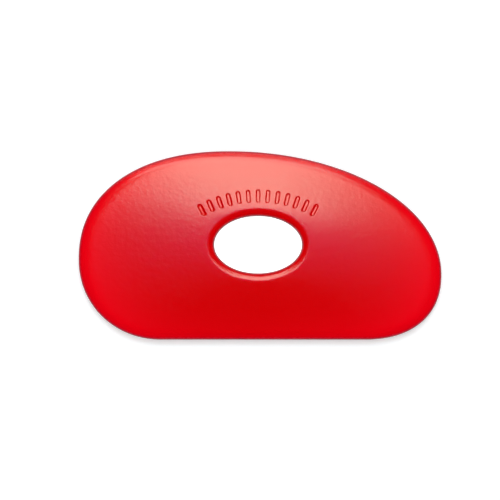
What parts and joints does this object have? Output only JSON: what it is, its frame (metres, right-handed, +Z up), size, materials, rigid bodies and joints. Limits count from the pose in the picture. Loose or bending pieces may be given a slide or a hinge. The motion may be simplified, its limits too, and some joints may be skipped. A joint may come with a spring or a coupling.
{
  "type": "pottery rib",
  "caption": "Soft moulded pottery rib with a straight working edge, a curved back, an oval finger hole and crowned faces that taper to a bevel and a blunt edge.",
  "frame": {"origin": "on the resting surface under the middle of the rib's overall length and width", "axes": "+X along the length towards the lower, more pointed end; +Y from the straight working edge to the curved back; +Z up out of the face with the grip marks"},
  "size_m": [0.127, 0.0658, 0.008],
  "materials": {
    "soft_polymer": "satin moulded red polymer, slightly translucent where it thins towards the edges"
  },
  "bodies": {
    "root": {"rib": "soft_polymer"}
  },
  "joints": []
}
